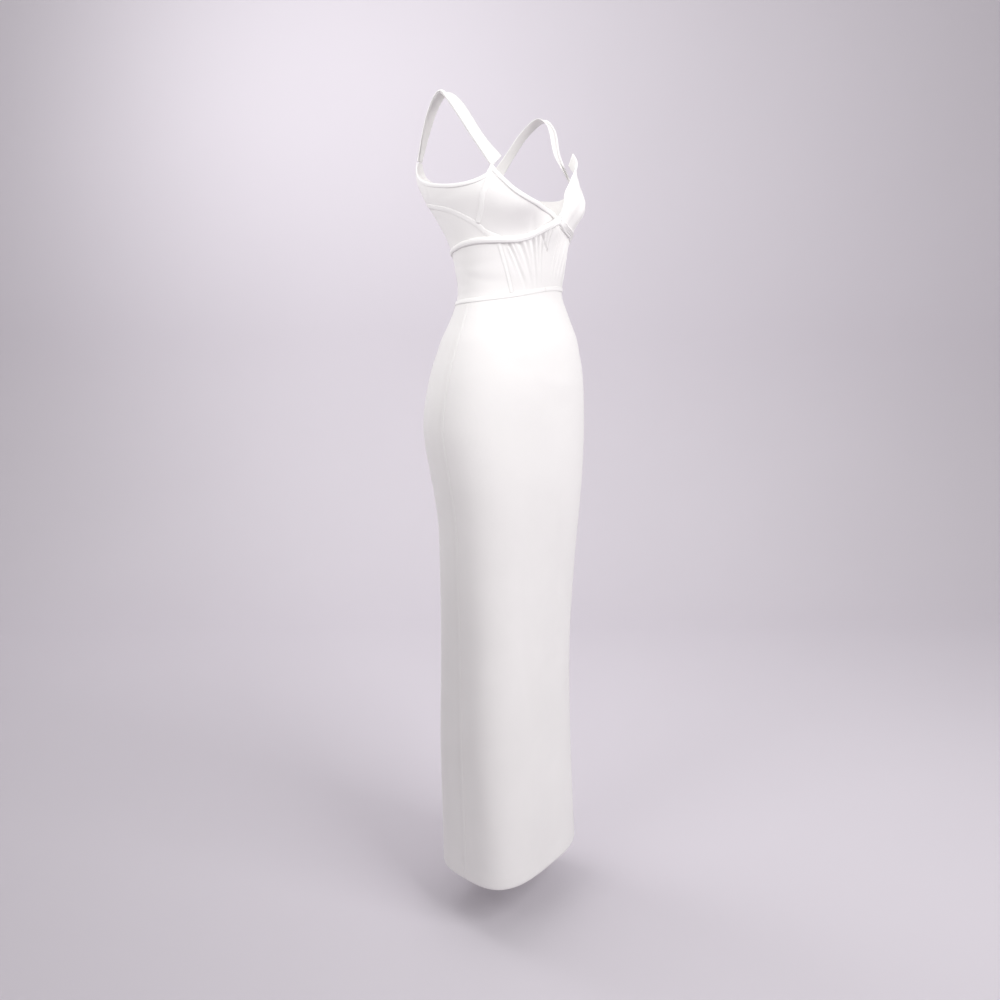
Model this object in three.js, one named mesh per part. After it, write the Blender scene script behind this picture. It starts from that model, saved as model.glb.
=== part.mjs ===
// A long, close-fitting gown of heavy white knit, as it hangs when worn.
// Two cups are joined by rolls that cross at the centre front. A gathered midriff sits above a fitted skirt.
// Millimetres. +X is the wearer's left, the front faces -Y and +Z is up. The origin lies between the strap tops.
import * as THREE from "three";

const CLOTH = 1.6; // wall of the double knit
const SEAM_GAP = 0.3; // between two pieces at a seam
const EASE = 0.4; // between a strip and the panel that it lies on
const HEM_Z = -1340;
const WAIST_FRONT_Z = -312;
const WAIST_DIP = 24; // how much lower the waist seam runs at the centre back
const WAIST_TILT = 8; // how much higher it runs at the wearer's left side, and lower at the right
const BACK_SEAM = 132; // angle of the seams that bound the back panels
const SIDE_SEAM = 90;
const RIB_FOOT = 50; // angle where the rib seams meet the waist
const IVORY = 0xf6f5f4;
const BINDING_WHITE = 0xfbfbfa;

// The figure inside the gown: half width, reach to the front and to the back, and squareness, at each height.
const sections = [
  { z: -70, side: 130, front: 66, back: 98, square: 2.3 },
  { z: -120, side: 138, front: 90, back: 120, square: 2.3 },
  { z: -160, side: 139, front: 108, back: 105, square: 2.2 },
  { z: -200, side: 126, front: 106, back: 80, square: 2.1 },
  { z: -240, side: 116, front: 110, back: 59, square: 2.05 },
  { z: -280, side: 112, front: 105, back: 47, square: 2 },
  { z: -320, side: 110, front: 100, back: 40, square: 2 },
  { z: -360, side: 123, front: 113, back: 51, square: 2 },
  { z: -400, side: 139, front: 128, back: 71, square: 2 },
  { z: -460, side: 155, front: 135, back: 88, square: 2.05 },
  { z: -540, side: 164, front: 133, back: 95, square: 2.15 },
  { z: -620, side: 156, front: 130, back: 80, square: 2.3 },
  { z: -700, side: 146, front: 123, back: 63, square: 2.45 },
  { z: -800, side: 138, front: 114, back: 61, square: 2.6 },
  { z: -950, side: 128, front: 108, back: 66, square: 2.85 },
  { z: -1100, side: 125, front: 110, back: 68, square: 3.05 },
  { z: -1350, side: 125, front: 121, back: 60, square: 3.2 },
];

// Each cup is a mound on the figure, and the cloth bridges the hollow between them.
const cup = { across: 80, z: -178, reach: 33, wide: 54, above: 62, below: 36 };
const bridge = { z: -208, reach: 16, wide: 40, tall: 26 };

const radians = THREE.MathUtils.degToRad;
const bell = (distance, width) => Math.exp(-((distance / width) ** 2));
const smooth = (x, from, to) => THREE.MathUtils.smoothstep(x, from, to);

// A value of the section table at a height, along a curve with no corners.
function sectionAt(z, column) {
  const last = sections.length - 1;
  let i = sections.findIndex((row) => row.z <= z);
  i = i < 0 ? last : Math.max(i, 1);
  const [a, b] = [sections[i - 1], sections[i]];
  const before = sections[Math.max(i - 2, 0)];
  const after = sections[Math.min(i + 1, last)];
  const t = THREE.MathUtils.clamp((z - a.z) / (b.z - a.z), 0, 1);
  const span = b.z - a.z;
  const slopeA = ((b[column] - before[column]) / (b.z - before.z)) * span;
  const slopeB = ((after[column] - a[column]) / (after.z - a.z)) * span;
  const rise = b[column] - a[column];
  return (
    a[column] +
    slopeA * t +
    (3 * rise - 2 * slopeA - slopeB) * t ** 2 +
    (slopeA + slopeB - 2 * rise) * t ** 3
  );
}

// The point of the figure at an angle from the centre front, positive to the wearer's left, and a height.
function figure(angle, z) {
  const front = sectionAt(z, "front");
  const back = sectionAt(z, "back");
  const side = sectionAt(z, "side");
  const square = sectionAt(z, "square");
  const depth = (front + back) / 2;
  const [sin, cos] = [Math.sin(radians(angle)), Math.cos(radians(angle))];
  const radius =
    (Math.abs(sin / side) ** square + Math.abs(cos / depth) ** square) **
    (-1 / square);
  const x = radius * sin;
  let y = (back - front) / 2 - radius * cos;
  if (cos > 0) {
    const mound = bell(z - cup.z, z > cup.z ? cup.above : cup.below);
    const span = bell(Math.abs(x) - cup.across, cup.wide);
    const fade = smooth(cos, 0, 0.5);
    const reach = cup.reach * mound * span * fade;
    const filled = bridge.reach * bell(z - bridge.z, bridge.tall) * bell(x, bridge.wide);
    y -= reach + filled * fade;
  }
  return new THREE.Vector3(x, y, z);
}

// The same point moved out of the figure along its surface's own direction.
function onFigure([angle, z], out) {
  const step = 0.5;
  const across = figure(angle + step, z).sub(figure(angle - step, z));
  const up = figure(angle, z + step).sub(figure(angle, z - step));
  return figure(angle, z).addScaledVector(across.cross(up).normalize(), out);
}

// A smooth line through points [angle, z], run from 0 to 1.
function route(points) {
  const curve = new THREE.CatmullRomCurve3(
    points.map(([angle, z]) => new THREE.Vector3(angle * 2, z, 0)),
    false,
    "centripetal",
  );
  return (t) => {
    const p = curve.getPointAt(THREE.MathUtils.clamp(t, 0, 1));
    return [p.x / 2, p.y];
  };
}

// A line with corners, which two pieces share at a seam. Each stretch takes the same share of the run.
function seam(points) {
  const last = points.length - 1;
  return (t) => {
    const i = Math.min(Math.floor(t * last + 1e-9), last - 1);
    return mixPair(points[i], points[i + 1], t * last - i);
  };
}

const mixPair = (a, b, t) => a.map((v, i) => v + (b[i] - v) * t);
const mirror = (side) => ([angle, z]) => [angle * side, z];

// A patch between four edges. Bottom and top run with s, left and right run upwards with t.
function patch({ bottom, top, left, right }) {
  return (s, t) => {
    const rows = mixPair(bottom(s), top(s), t);
    const columns = mixPair(left(t), right(t), s);
    const low = mixPair(bottom(0), bottom(1), s);
    const high = mixPair(top(0), top(1), s);
    const corners = mixPair(low, high, t);
    return rows.map((v, i) => v + columns[i] - corners[i]);
  };
}

// A closed wall from two grids of points, the outer one and the inner one.
function wallMesh(name, colour, outer, inner, columns, rows) {
  const positions = [];
  const index = [];
  const stride = rows + 1;
  const count = (columns + 1) * stride;
  for (const side of [outer, inner])
    for (let i = 0; i <= columns; i++)
      for (let j = 0; j <= rows; j++)
        positions.push(...side(i / columns, j / rows).toArray());
  const at = (i, j, layer) => layer * count + i * stride + j;
  const quad = (a, b, c, d) => index.push(a, b, c, a, c, d);
  for (let i = 0; i < columns; i++)
    for (let j = 0; j < rows; j++) {
      quad(at(i, j, 0), at(i + 1, j, 0), at(i + 1, j + 1, 0), at(i, j + 1, 0));
      quad(at(i, j, 1), at(i, j + 1, 1), at(i + 1, j + 1, 1), at(i + 1, j, 1));
    }
  for (let i = 0; i < columns; i++) {
    quad(at(i, 0, 1), at(i + 1, 0, 1), at(i + 1, 0, 0), at(i, 0, 0));
    quad(at(i, rows, 0), at(i + 1, rows, 0), at(i + 1, rows, 1), at(i, rows, 1));
  }
  for (let j = 0; j < rows; j++) {
    quad(at(0, j, 0), at(0, j + 1, 0), at(0, j + 1, 1), at(0, j, 1));
    quad(at(columns, j, 1), at(columns, j + 1, 1), at(columns, j + 1, 0), at(columns, j, 0));
  }
  const geometry = new THREE.BufferGeometry();
  geometry.setAttribute("position", new THREE.Float32BufferAttribute(positions, 3));
  geometry.setIndex(index);
  const material = new THREE.MeshStandardMaterial({ color: colour, roughness: 0.8, metalness: 0 });
  const mesh = new THREE.Mesh(geometry, material);
  mesh.name = name;
  if (signedVolume(positions, index) < 0) geometry.setIndex(index.reverse());
  geometry.computeVertexNormals();
  return mesh;
}

function signedVolume(positions, index) {
  const point = (k) => new THREE.Vector3().fromArray(positions, 3 * k);
  let volume = 0;
  for (let k = 0; k < index.length; k += 3) {
    const [a, b, c] = [point(index[k]), point(index[k + 1]), point(index[k + 2])];
    volume += a.dot(b.cross(c)) / 6;
  }
  return volume;
}

const flat = () => 0;

// A cloth panel on the figure. Its edges stop half a seam gap short, and a lift moves both faces out.
function panel(name, shape, columns, rows, lift = flat, thickness = CLOTH) {
  const wide = onFigure(shape(0, 0.5), 0).distanceTo(onFigure(shape(0.5, 0.5), 0)) * 2;
  const tall = onFigure(shape(0.5, 0), 0).distanceTo(onFigure(shape(0.5, 1), 0));
  const [es, et] = [SEAM_GAP / wide, SEAM_GAP / tall];
  const place = (s, t) => shape(es + s * (1 - 2 * es), et + t * (1 - 2 * et));
  const outer = (s, t) => onFigure(place(s, t), lift(s, t) + thickness);
  const inner = (s, t) => onFigure(place(s, t), lift(s, t));
  return wallMesh(name, IVORY, outer, inner, columns, rows);
}

// A point of the figure beside a line on it, by a distance across the line, moved out.
function besideLine(line, s, distance, out) {
  const step = 0.004;
  const u = THREE.MathUtils.clamp(s, step, 1 - step);
  const [angle, z] = line(s);
  const perAngle = figure(angle + 0.5, z).sub(figure(angle - 0.5, z));
  const perZ = figure(angle, z + 0.5).sub(figure(angle, z - 0.5));
  const along = figure(...line(u + step)).sub(figure(...line(u - step)));
  const sideways = perAngle.clone().cross(perZ).cross(along).normalize().multiplyScalar(distance);
  // The share of the angle and of the height in the sideways move. The two directions may lean together.
  const [aa, zz, az] = [perAngle.lengthSq(), perZ.lengthSq(), perAngle.dot(perZ)];
  const [sa, sz] = [sideways.dot(perAngle), sideways.dot(perZ)];
  const whole = aa * zz - az * az;
  return onFigure([angle + (sa * zz - sz * az) / whole, z + (sz * aa - sa * az) / whole], out);
}

// A strip along a route on the figure, with a rounded top. It lies clear of the panels, or higher where told.
function strip(name, line, { width, height, steps, across = 4, rise = flat, base = CLOTH + EASE }) {
  const crown = (t) => height * (0.35 + 0.65 * Math.sqrt(1 - (2 * t - 1) ** 2));
  const offset = (s, t) => (t - 0.5) * (typeof width === "function" ? width(s) : width);
  const outer = (s, t) => besideLine(line, s, offset(s, t), base + rise(s) + crown(t));
  const inner = (s, t) => besideLine(line, s, offset(s, t), base + rise(s));
  return wallMesh(name, BINDING_WHITE, outer, inner, steps, across);
}

const gown = new THREE.Group();
const add = (mesh) => gown.add(mesh);
const waistZ = (angle) => {
  const dip = (WAIST_DIP * (1 - Math.cos(radians(angle)))) / 2;
  return WAIST_FRONT_Z + WAIST_TILT * Math.sin(radians(angle)) - dip;
};

// Named points of the cut, on the wearer's left. The right side is their mirror image, but for the neckline:
// the left cup's inner edge has slipped outwards.
const crossing = [4, -198];
const cupFoot = [4, -206];
const strapJoin = [54, -124];
const cupCorner = [74, -213];
const ribTop = [61, -236];
const wedgeTip = [62.8, -231.4];
const wedgeFoot = [62.8, -235.5];
const cupSeam = [cupCorner, [67, -166], strapJoin];
const neckline = {
  right: [crossing, [12, -189], [31, -181], [42, -174], [49, -162], [52, -145], strapJoin],
  left: [crossing, [10, -187], [14, -168], [17, -154], [28, -137], [42, -124], strapJoin],
};
const underCup = [cupFoot, [14, -213], [28, -224.5], [45, -232.5], [61, -233], [70, -225]];
const slant = [cupCorner, [88, -191], [104, -180], [BACK_SEAM, -170]];
const underBust = [[77, -236.5], [100, -245.5], [BACK_SEAM, -256]];
const midriffTop = [[-61, -236], [-47, -235.5], [-28, -228], [-14, -217], [0, -209]];
const armhole = [
  strapJoin, [58, -132], [68, -143], [78, -148], [88, -146], [102, -139], [113, -124], [120, -100],
  [BACK_SEAM, -98],
];
const backNeck = [[BACK_SEAM, -98], [150, -117], [180, -127]];

// The left cup is pulled up, so its lower edge and what is sewn to it lie higher than on the right.
const PULL = { rise: 16, from: 0, full: 44, until: 50, to: 78 };
const pulled = ([angle, z]) => {
  const share = smooth(angle, PULL.from, PULL.full) * (1 - smooth(angle, PULL.until, PULL.to));
  return [angle, z + PULL.rise * share];
};

// The left cup and the roll on its edge fall away from the body, more and more towards the strap.
const FLAP = { lift: 20, from: -160, to: -108 };
const fallen = ([angle, z]) => FLAP.lift * smooth(z, FLAP.from, FLAP.to) * smooth(angle, 2, 14);
const cupSeamAngle = (z) => {
  const [[lowAngle, lowZ], [highAngle, highZ]] = [cupCorner, strapJoin];
  return lowAngle + ((highAngle - lowAngle) * (z - lowZ)) / (highZ - lowZ);
};
const draped = ([angle, z]) => fallen([angle, z]) * smooth(cupSeamAngle(z) - angle, 0, 16);

for (const [side, hand] of [[-1, "right"], [1, "left"]]) {
  const turn = (points) => route(points.map(mirror(side)));
  const sew = (points) => seam(points.map(mirror(side)));

  const waist = (angle) => [angle, waistZ(side * angle)];
  const low = (points) => (side > 0 ? points.map(pulled) : points);

  // Front cup, from the crossing to the strap and down to the roll.
  const cupShape = patch({
    bottom: sew([...low(underCup), cupCorner]),
    top: turn(neckline[hand]),
    left: sew([cupFoot, crossing]),
    right: sew(cupSeam),
  });
  add(panel(`cup_${hand}`, cupShape, 12, 8, side > 0 ? (s, t) => draped(cupShape(s, t)) : flat));

  // Side of the cup, under the arm, up to the back seam.
  const sideCupShape = patch({
    bottom: sew(slant),
    top: turn(armhole),
    left: sew(cupSeam),
    right: sew([[BACK_SEAM, -170], [BACK_SEAM, -98]]),
  });
  add(panel(`side_cup_${hand}`, sideCupShape, 15, 6));

  // Wedge between the slanting seam and the roll.
  const wedgeShape = patch({
    bottom: sew(low([wedgeFoot, ...underBust])),
    top: sew([...low([wedgeTip, underCup.at(-1)]), ...slant]),
    left: sew(low([wedgeFoot, wedgeTip])),
    right: sew([[BACK_SEAM, -256], [BACK_SEAM, -170]]),
  });
  add(panel(`wedge_${hand}`, wedgeShape, 15, 4));

  // Side of the midriff, from the rib to the back seam.
  const midriffShape = patch({
    bottom: sew([RIB_FOOT, 77, 105, BACK_SEAM].map(waist)),
    top: sew(low([ribTop, ...underBust])),
    left: sew([waist(RIB_FOOT), ...low([ribTop])]),
    right: sew([waist(BACK_SEAM), [BACK_SEAM, -256]]),
  });
  add(panel(`midriff_side_${hand}`, midriffShape, 9, 6));

  // Half of the back, from the back neck to the waist.
  const backShape = patch({
    bottom: sew([BACK_SEAM, 156, 180].map(waist)),
    top: turn(backNeck),
    left: sew([waist(BACK_SEAM), [BACK_SEAM, -98]]),
    right: sew([waist(180), [180, -127]]),
  });
  add(panel(`back_${hand}`, backShape, 6, 14));

  // Half of the back skirt.
  const skirtBackShape = (s, t) => {
    const angle = side * (SIDE_SEAM + (180 - SIDE_SEAM) * s);
    return [angle, HEM_Z + (waistZ(angle) - HEM_Z) * t];
  };
  add(panel(`skirt_back_${hand}`, skirtBackShape, 9, 16));
}

// Rolls of doubled knit. Each starts under one arm, follows the cup's lower edge, crosses at the centre front
// and edges the other cup up to the strap. The one from the wearer's right passes over the other, and its upper
// end spreads into a fold that stands away from the strap.
const ROLL = { thin: 6, width: 10, slim: 7, height: 4.5, steps: 48, across: 3, base: CLOTH + 1.8 };
const CROSSING_LIFT = 7;
const CROSSING_SPREAD = 11;
const FOLD = { width: 13, from: -146, to: -112 };
const underRoll = [
  [-BACK_SEAM + 1, -256], [-106, -248], [-89, -240.5], [-77, -236.5], [-60, -235], [-45, -233.5],
  [-33, -228], [-22, -219], [-8, -206.5], [0, -200.5],
];
const leftRim = [[9.5, -189], [14.5, -171], [17.5, -156], [28, -138], [42, -122], [48, -108], [51, -96]];
const rightRim = [[10, -190], [31, -180], [42, -173], [49, -161], [52, -145], [53.5, -130]];
const overLine = route([...underRoll, ...leftRim]);
const pulledRoll = underRoll.map(mirror(-1)).map(pulled);
const underLine = route([...pulledRoll, ...rightRim.map(mirror(-1))]);
const rollWidth = ([angle, z]) => {
  const full = ROLL.thin + (ROLL.width - ROLL.thin) * smooth(angle, -BACK_SEAM, -60);
  return full + (ROLL.slim - full) * smooth(angle, -8, 12) * smooth(z, -204, -180);
};
const overRise = (s) => CROSSING_LIFT * bell(overLine(s)[0], CROSSING_SPREAD) + fallen(overLine(s));
const overWidth = (s) => {
  const [angle, z] = overLine(s);
  return rollWidth([angle, z]) + (angle > 0 ? FOLD.width * smooth(z, FOLD.from, FOLD.to) : 0);
};
add(strip("roll_over", overLine, { ...ROLL, steps: 56, rise: overRise, width: overWidth }));
add(strip("roll_under", underLine, { ...ROLL, width: (s) => rollWidth(mirror(-1)(underLine(s))) }));

// Flat strips stitched over the seams, and the binding of the armholes and the back neck.
const TAPE = { width: 8, height: 1, steps: 14, across: 3 };
const RIB_TAPE = { ...TAPE, width: 6 };
const WAIST_TAPE = { ...TAPE, width: 7.5, steps: 28, base: CLOTH + 1.8 };
const BINDING = { width: 6.5, height: 1.8, steps: 20, across: 3 };
for (const [side, hand] of [[-1, "right"], [1, "left"]]) {
  const turn = (points) => route(points.map(mirror(side)));
  const waist = (angle) => [angle, waistZ(side * angle)];
  const slantEnd = [BACK_SEAM - 1.5, -170];
  const low = (points) => (side > 0 ? points.map(pulled) : points);
  const slantLine = [...low([[62, -230.5], [70, -223]]), [74.5, -212], [88, -190], [104, -179.5], slantEnd];
  const ribLine = [...low([[60.5, -243], [57, -272]]), [RIB_FOOT + 1, waist(RIB_FOOT)[1] + 10]];
  const armLine = [[58, -137], [68, -147], [78, -151], [88, -149.5], [102, -142.5], [112, -128], [117, -104]];
  add(strip(`cup_tape_${hand}`, turn([[61.8, -150], [66.5, -166], [72.5, -206]]), TAPE));
  add(strip(`slant_tape_${hand}`, turn(slantLine), { ...TAPE, steps: 24 }));
  add(strip(`rib_tape_${hand}`, turn(ribLine), RIB_TAPE));
  add(strip(`armhole_binding_${hand}`, turn(armLine), BINDING));
  const neckLine = [[134, -103], [150, -120], [179.3, -130.5]];
  add(strip(`back_neck_binding_${hand}`, turn(neckLine), { ...BINDING, steps: 12 }));
  const band = Array.from({ length: 13 }, (_, i) => waist(0.3 + (i * 179.4) / 12));
  add(strip(`waist_tape_${hand}`, turn(band), WAIST_TAPE));
}

// Straps, each over a shoulder from the front cup to the back. The rows give the outer and the inner edge.
const strapRows = [
  { outer: [118, -43, -75], inner: [92, -51, -74] },
  { outer: [140, -14, -21], inner: [114, -18, -16] },
  { outer: [140, 4, -5], inner: [116, 5, -2] },
  { outer: [131, 34, -25], inner: [110, 36, -22] },
  { outer: [120, 60, -62], inner: [101, 66, -60] },
];
const CORD = { width: 7, height: 2.6 };
for (const [side, hand] of [[-1, "right"], [1, "left"]]) {
  const flip = ([x, y, z]) => new THREE.Vector3(side * x, y, z);
  const from = (angle, z) => onFigure([side * angle, z], 0);
  const curve = (points) => new THREE.CatmullRomCurve3(points, false, "centripetal");
  const outerEdge = curve([from(54, -123.5), ...strapRows.map((row) => flip(row.outer)), from(120.5, -99.3)]);
  const innerEdge = curve([from(44, -104), ...strapRows.map((row) => flip(row.inner)), from(131, -97.3)]);
  const ribbon = (s, t) => outerEdge.getPoint(s).lerp(innerEdge.getPoint(s), t);
  // A point of the strap from its outer edge, 0, to its inner edge, 1, moved out of the shoulder.
  const onStrap = (s, t, out) => {
    const u = THREE.MathUtils.clamp(s, 0.01, 0.99);
    const along = ribbon(u + 0.01, t).sub(ribbon(u - 0.01, t));
    const across = ribbon(s, 1).sub(ribbon(s, 0));
    return ribbon(s, t).addScaledVector(across.cross(along).normalize(), -side * out);
  };
  const face = (s, t) => onStrap(s, t, CLOTH);
  const back = (s, t) => onStrap(s, t, 0);
  add(wallMesh(`strap_${hand}`, IVORY, face, back, 22, 2));
  const cordAt = (s, t) => -0.02 + (t * CORD.width) / outerEdge.getPoint(s).distanceTo(innerEdge.getPoint(s));
  const crown = (t) => CORD.height * (0.35 + 0.65 * Math.sqrt(1 - (2 * t - 1) ** 2));
  const foot = CLOTH + EASE;
  const clear = (s) => 0.012 + s * 0.976;
  const cordTop = (s, t) => onStrap(clear(s), cordAt(clear(s), t), foot + crown(t));
  const cordFoot = (s, t) => onStrap(clear(s), cordAt(clear(s), t), foot);
  add(wallMesh(`strap_cord_${hand}`, BINDING_WHITE, cordTop, cordFoot, 22, 3));
}

// Gathered front of the midriff, full under the rolls and flatter at the waist.
const GATHERS = 16;
const GATHER_LIFT = 2.2;
const mirrored = midriffTop.slice(0, -1).map(mirror(-1)).map(pulled).reverse();
const waistPlace = (angle) => [angle, waistZ(angle)];
const midriffFrontShape = patch({
  bottom: seam([-3, -2, -1, 0, 1, 2, 3].map((k) => waistPlace((k * RIB_FOOT) / 3))),
  top: seam([...midriffTop, ...mirrored]),
  left: seam([waistPlace(-RIB_FOOT), midriffTop[0]]),
  right: seam([waistPlace(RIB_FOOT), mirrored.at(-1)]),
});
const gathers = (s, t) => {
  const edge = smooth(s, 0.04, 0.09) * smooth(1 - s, 0.04, 0.09);
  const ends = smooth(t, 0.08, 0.25) * smooth(1 - t, 0.12, 0.3);
  const full = 0.35 + 0.65 * t;
  return GATHER_LIFT * edge * ends * full * (0.5 - 0.5 * Math.cos(2 * Math.PI * GATHERS * s));
};
add(panel("midriff_front", midriffFrontShape, GATHERS * 4, 6, gathers));

// Front of the skirt, in one piece from side seam to side seam.
const skirtFrontShape = (s, t) => {
  const angle = SIDE_SEAM * (2 * s - 1);
  return [angle, HEM_Z + (waistZ(angle) - HEM_Z) * t];
};
add(panel("skirt_front", skirtFrontShape, 18, 16));

export default gown;
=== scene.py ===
import bpy
import numpy as np
from mathutils import Matrix, Vector


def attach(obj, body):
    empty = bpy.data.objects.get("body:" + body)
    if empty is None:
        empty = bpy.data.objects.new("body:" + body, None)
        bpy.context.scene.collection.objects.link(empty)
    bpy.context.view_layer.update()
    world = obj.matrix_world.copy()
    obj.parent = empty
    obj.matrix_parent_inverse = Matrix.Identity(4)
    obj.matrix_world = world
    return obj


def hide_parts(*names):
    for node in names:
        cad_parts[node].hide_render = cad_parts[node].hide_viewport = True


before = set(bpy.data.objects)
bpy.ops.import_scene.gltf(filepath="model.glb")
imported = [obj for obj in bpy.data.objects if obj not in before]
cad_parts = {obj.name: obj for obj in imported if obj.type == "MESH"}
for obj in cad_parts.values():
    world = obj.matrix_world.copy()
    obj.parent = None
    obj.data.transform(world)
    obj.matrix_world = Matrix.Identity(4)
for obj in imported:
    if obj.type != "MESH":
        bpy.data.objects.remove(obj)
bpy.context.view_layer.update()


# Skirt front: one long panel of heavy double knit, cut to the shape of hip and knee and turned up at the hem.
# The sections of the form that the gown has when worn stand here too, with what cuts cloth on that form.
MM = 0.001
CLOTH = 1.6
HEM_Z = -1340
WAIST_FRONT_Z = -312
WAIST_DIP = 24
WAIST_TILT = 8
SIDE_SEAM = 90
BACK_SEAM = 132
HEM_TURN = 26
SECTION_COLUMNS = ("z", "side", "front", "back", "square")
SECTIONS = np.array([
    (-70, 130, 66, 98, 2.3),
    (-120, 138, 90, 120, 2.3),
    (-160, 139, 108, 105, 2.2),
    (-200, 126, 106, 80, 2.1),
    (-240, 116, 110, 59, 2.05),
    (-280, 112, 105, 47, 2),
    (-320, 110, 100, 40, 2),
    (-360, 123, 113, 51, 2),
    (-400, 139, 128, 71, 2),
    (-460, 155, 135, 88, 2.05),
    (-540, 164, 133, 95, 2.15),
    (-620, 156, 130, 80, 2.3),
    (-700, 146, 123, 63, 2.45),
    (-800, 138, 114, 61, 2.6),
    (-950, 128, 108, 66, 2.85),
    (-1100, 125, 110, 68, 3.05),
    (-1350, 125, 121, 60, 3.2),
])
CUP = {"across": 80, "z": -178, "reach": 33, "wide": 54, "above": 62, "below": 36}
BRIDGE = {"z": -208, "reach": 16, "wide": 40, "tall": 26}


def bell(distance, width):
    return np.exp(-((np.asarray(distance) / width) ** 2))


def smooth(x, start, end):
    t = np.clip((np.asarray(x, float) - start) / (end - start), 0, 1)
    return t * t * (3 - 2 * t)


def section_at(z, name):
    """One column of the section table at each height, along a curve with no corners."""
    heights, values = SECTIONS[:, 0], SECTIONS[:, SECTION_COLUMNS.index(name)]
    last = len(heights) - 1
    i = np.clip(np.searchsorted(-heights, -z), 1, last)
    before, after = np.maximum(i - 2, 0), np.minimum(i + 1, last)
    span = heights[i] - heights[i - 1]
    t = np.clip((z - heights[i - 1]) / span, 0, 1)
    slope_a = (values[i] - values[before]) / (heights[i] - heights[before]) * span
    slope_b = (values[after] - values[i - 1]) / (heights[after] - heights[i - 1]) * span
    rise = values[i] - values[i - 1]
    bend = (3 * rise - 2 * slope_a - slope_b) * t**2 + (slope_a + slope_b - 2 * rise) * t**3
    return values[i - 1] + slope_a * t + bend


def worn_form(angle, z):
    """Points of the worn form at angles from the centre front, positive to the wearer's left, and heights."""
    angle, z = np.broadcast_arrays(np.asarray(angle, float), np.asarray(z, float))
    front, back, side, square = (section_at(z, name) for name in ("front", "back", "side", "square"))
    depth = (front + back) / 2
    sin, cos = np.sin(np.radians(angle)), np.cos(np.radians(angle))
    radius = (np.abs(sin / side) ** square + np.abs(cos / depth) ** square) ** (-1 / square)
    x = radius * sin
    mound = bell(z - CUP["z"], np.where(z > CUP["z"], CUP["above"], CUP["below"]))
    reach = CUP["reach"] * mound * bell(np.abs(x) - CUP["across"], CUP["wide"])
    filled = BRIDGE["reach"] * bell(z - BRIDGE["z"], BRIDGE["tall"]) * bell(x, BRIDGE["wide"])
    y = (back - front) / 2 - radius * cos - (reach + filled) * smooth(cos, 0, 0.5)
    return np.stack([x, y, z], -1)


def unit(vectors):
    return vectors / np.linalg.norm(vectors, axis=-1, keepdims=True)


def on_form(place, out):
    """Points of the worn form at places (angle, z), moved out along its surface's own direction."""
    angle, z = place[..., 0], place[..., 1]
    step = 0.5
    across = worn_form(angle + step, z) - worn_form(angle - step, z)
    up = worn_form(angle, z + step) - worn_form(angle, z - step)
    return worn_form(angle, z) + unit(np.cross(across, up)) * np.asarray(out)[..., None]


def waist_z(angle):
    dip = WAIST_DIP * (1 - np.cos(np.radians(angle))) / 2
    return WAIST_FRONT_Z + WAIST_TILT * np.sin(np.radians(angle)) - dip


def wall(name, outer, inner, scale):
    """A closed wall between two grids of points, with a UV map in metres of cloth along and up the grid."""
    columns, rows = outer.shape[:2]
    index = np.arange(2 * columns * rows).reshape(2, columns, rows)

    def quads(a, b, c, d):
        return np.stack([a.ravel(), b.ravel(), c.ravel(), d.ravel()], -1)

    o, n = index
    faces = np.concatenate([
        quads(o[:-1, :-1], o[1:, :-1], o[1:, 1:], o[:-1, 1:]),
        quads(n[:-1, :-1], n[:-1, 1:], n[1:, 1:], n[1:, :-1]),
        quads(n[:-1, 0], n[1:, 0], o[1:, 0], o[:-1, 0]),
        quads(o[:-1, -1], o[1:, -1], n[1:, -1], n[:-1, -1]),
        quads(o[0, :-1], o[0, 1:], n[0, 1:], n[0, :-1]),
        quads(n[-1, :-1], n[-1, 1:], o[-1, 1:], o[-1, :-1]),
    ])
    points = np.concatenate([outer.reshape(-1, 3), inner.reshape(-1, 3)])
    a, b, c, d = (points[faces[:, k]] for k in range(4))
    volume = np.einsum("ij,ij->i", a, np.cross(b, c) + np.cross(c, d)).sum()
    if volume < 0:
        faces = faces[:, ::-1]
    mesh = bpy.data.meshes.new(name)
    mesh.from_pydata((points * MM).tolist(), [], faces.tolist())
    u, v = np.meshgrid(*scale, indexing="ij")
    spread = np.tile(np.stack([u, v], -1).reshape(-1, 2) * MM, (2, 1))
    layer = mesh.uv_layers.new(name="cloth")
    layer.data.foreach_set("uv", spread[faces.ravel()].ravel())
    mesh.shade_smooth()
    piece = bpy.data.objects.new(name, mesh)
    bpy.context.collection.objects.link(piece)
    return piece


def crowded(length, count, edge=(0, 0.5, 1.1, 2, 3.4, 5.5)):
    """Shares from 0 to 1 that lie close together near both ends, where a turned edge bends."""
    near = np.array(edge) / length
    middle = np.linspace(near[-1] * 1.5, 1 - near[-1] * 1.5, count)
    return np.concatenate([near, middle, 1 - near[::-1]])


EDGE = {"sink": 0.9, "wide": 2.2, "gap": 0.15}


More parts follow.
